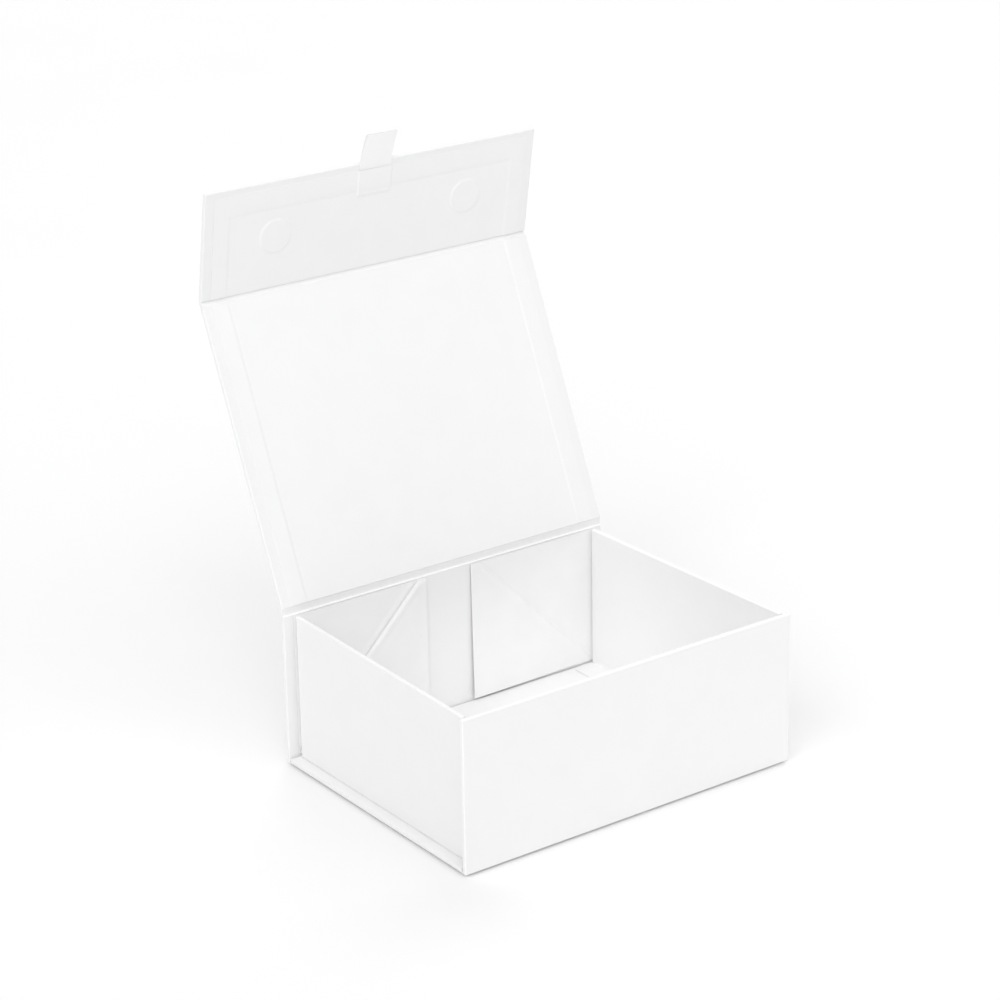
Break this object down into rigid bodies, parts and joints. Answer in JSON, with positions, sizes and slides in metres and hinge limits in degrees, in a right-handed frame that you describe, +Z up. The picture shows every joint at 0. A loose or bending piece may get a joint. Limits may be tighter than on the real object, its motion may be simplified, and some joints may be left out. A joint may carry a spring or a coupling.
{
  "type": "jewelry gift box",
  "caption": "Collapsible rigid gift box with a hinged lid, magnetic closing flap and ribbon pull, shown open.",
  "frame": {"origin": "centre of the base's underside, on the surface that the box stands on", "axes": "+Z up from the base, +X to the right along the case's width as seen from the front wall, +Y from the front wall to the spine"},
  "size_m": [0.2, 0.2195, 0.2994],
  "materials": {
    "grey_board": "matte",
    "wrap_paper": "matte, fine tooth",
    "liner_paper": "matte, fine tooth",
    "gusset_card": "matte, creased",
    "adhesive_tape": "satin",
    "magnet_metal": "plated",
    "ribbon_cloth": "ribbed weave"
  },
  "bodies": {
    "base": {"base_board": "grey_board", "base_wrap": "wrap_paper", "base_liner": "liner_paper", "base_spine_hinge_paper": "wrap_paper", "base_front_hinge_paper": "wrap_paper", "left_glue_flap": "wrap_paper", "right_glue_flap": "wrap_paper"},
    "spine": {"spine_board": "grey_board", "spine_wrap": "wrap_paper", "spine_liner": "liner_paper", "lid_hinge_paper": "wrap_paper", "rear_left_gusset_fixed": "gusset_card", "rear_right_gusset_fixed": "gusset_card", "rear_gusset_tapes": "adhesive_tape"},
    "front_wall": {"front_board": "grey_board", "front_wrap": "wrap_paper", "front_liner": "liner_paper", "front_magnets": "magnet_metal", "front_left_gusset_fixed": "gusset_card", "front_right_gusset_fixed": "gusset_card", "front_gusset_tapes": "adhesive_tape"},
    "left_wall": {"left_wall_board": "grey_board", "left_wall_wrap": "wrap_paper"},
    "right_wall": {"right_wall_board": "grey_board", "right_wall_wrap": "wrap_paper"},
    "rear_left_gusset": {"rear_left_gusset_folding": "gusset_card"},
    "rear_right_gusset": {"rear_right_gusset_folding": "gusset_card"},
    "front_left_gusset": {"front_left_gusset_folding": "gusset_card"},
    "front_right_gusset": {"front_right_gusset_folding": "gusset_card"},
    "lid": {"lid_board": "grey_board", "lid_wrap": "wrap_paper", "lid_liner": "liner_paper", "flap_hinge_paper": "wrap_paper"},
    "flap": {"flap_board": "grey_board", "flap_wrap": "wrap_paper", "flap_liner": "liner_paper", "flap_magnets": "magnet_metal", "ribbon_root": "ribbon_cloth"},
    "ribbon": {"ribbon_tab": "ribbon_cloth"}
  },
  "joints": [
    {"name": "spine_fold", "type": "hinge", "parent": "base", "child": "spine", "pos_m": [0, 0.0775, 0], "axis": [-1, 0, 0], "range_deg": [0, 90]},
    {"name": "front_wall_fold", "type": "hinge", "parent": "base", "child": "front_wall", "pos_m": [0, -0.0775, 0], "axis": [1, 0, 0], "range_deg": [0, 90]},
    {"name": "left_wall_fold", "type": "hinge", "parent": "base", "child": "left_wall", "pos_m": [-0.092, 0, 0.00305], "axis": [0, 1, 0], "range_deg": [0, 90]},
    {"name": "right_wall_fold", "type": "hinge", "parent": "base", "child": "right_wall", "pos_m": [0.092, 0, 0.00305], "axis": [0, -1, 0], "range_deg": [0, 90]},
    {"name": "rear_left_gusset_fold", "type": "hinge", "parent": "spine", "child": "rear_left_gusset", "pos_m": [-0.0945, 0.07415, 0.0031], "axis": [0.7071, 0, 0.7071], "range_deg": [0, 178.3]},
    {"name": "rear_right_gusset_fold", "type": "hinge", "parent": "spine", "child": "rear_right_gusset", "pos_m": [0.0945, 0.07415, 0.0031], "axis": [0.7071, 0, -0.7071], "range_deg": [0, 178.3]},
    {"name": "front_left_gusset_fold", "type": "hinge", "parent": "front_wall", "child": "front_left_gusset", "pos_m": [-0.0945, -0.07415, 0.0031], "axis": [-0.7071, 0, -0.7071], "range_deg": [0, 178.3]},
    {"name": "front_right_gusset_fold", "type": "hinge", "parent": "front_wall", "child": "front_right_gusset", "pos_m": [0.0945, -0.07415, 0.0031], "axis": [-0.7071, 0, 0.7071], "range_deg": [0, 178.3]},
    {"name": "lid_hinge", "type": "hinge", "parent": "spine", "child": "lid", "pos_m": [0, 0.0775, 0.08305], "axis": [-1, 0, 0], "range_deg": [-114, 66]},
    {"name": "flap_hinge", "type": "hinge", "parent": "lid", "child": "flap", "pos_m": [0, 0.14199, 0.22789], "axis": [-1, 0, 0], "range_deg": [-56.3, 33.7]},
    {"name": "ribbon_flex", "type": "hinge", "parent": "flap", "child": "ribbon", "pos_m": [0, 0.12967, 0.28514], "axis": [-1, 0, 0], "range_deg": [0, 75]}
  ],
  "couplings": [
    {"joint": "front_wall_fold", "follows": "spine_fold", "ratio": 1},
    {"joint": "left_wall_fold", "follows": "spine_fold", "ratio": 1},
    {"joint": "right_wall_fold", "follows": "spine_fold", "ratio": 1},
    {"joint": "rear_left_gusset_fold", "follows": "spine_fold", "ratio": 1.98},
    {"joint": "rear_right_gusset_fold", "follows": "spine_fold", "ratio": 1.98},
    {"joint": "front_left_gusset_fold", "follows": "spine_fold", "ratio": 1.98},
    {"joint": "front_right_gusset_fold", "follows": "spine_fold", "ratio": 1.98}
  ]
}
